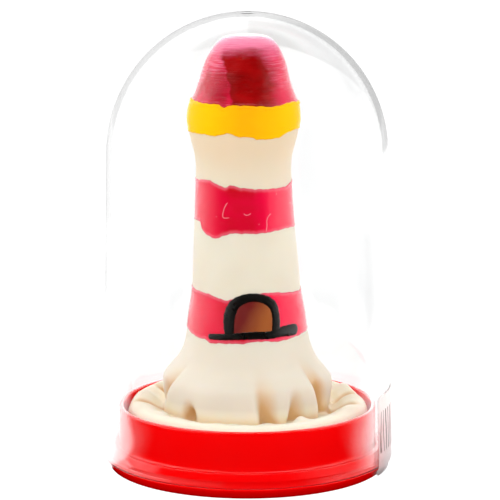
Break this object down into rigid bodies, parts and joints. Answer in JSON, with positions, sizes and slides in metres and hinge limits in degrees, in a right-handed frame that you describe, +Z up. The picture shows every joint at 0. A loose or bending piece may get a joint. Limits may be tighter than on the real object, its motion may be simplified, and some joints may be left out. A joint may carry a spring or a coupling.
{
  "type": "souvenir lighthouse under a clear dome",
  "caption": "Free-standing souvenir: a painted lighthouse figure in a latex sleeve, standing in a red cup base under a clear lift-off dome.",
  "frame": {"origin": "centre of the round foot's underside, on the surface that the souvenir stands on", "axes": "+Z up along the dome's axis, -Y towards the front with the painted window, +X to the front's right"},
  "size_m": [0.0605, 0.06, 0.0944],
  "materials": {
    "clear_plastic": "polished",
    "red_plastic": "gloss",
    "turned_wood": "matte",
    "cream_latex": "satin",
    "cap_paint": "gloss",
    "yellow_paint": "satin",
    "red_paint": "satin",
    "black_paint": "satin",
    "brown_paint": "satin",
    "label_paper": "matte"
  },
  "bodies": {
    "base": {"base_cup": "red_plastic"},
    "figure": {"inner_former": "turned_wood", "latex_sleeve": "cream_latex", "cap_coat": "cap_paint", "gallery_coat": "yellow_paint", "upper_stripe_coat": "red_paint", "lower_stripe_coat": "red_paint", "window_outline": "black_paint", "window_pane": "brown_paint"},
    "dome": {"clear_dome": "clear_plastic", "seal_label_right": "label_paper", "seal_label_left": "label_paper"}
  },
  "joints": [
    {"name": "figure_lift", "type": "slide", "parent": "base", "child": "figure", "axis": [0, 0, 1], "range_m": [0, 0.03]},
    {"name": "dome_lift", "type": "slide", "parent": "figure", "child": "dome", "axis": [0, 0, 1], "range_m": [0, 0.1]}
  ]
}
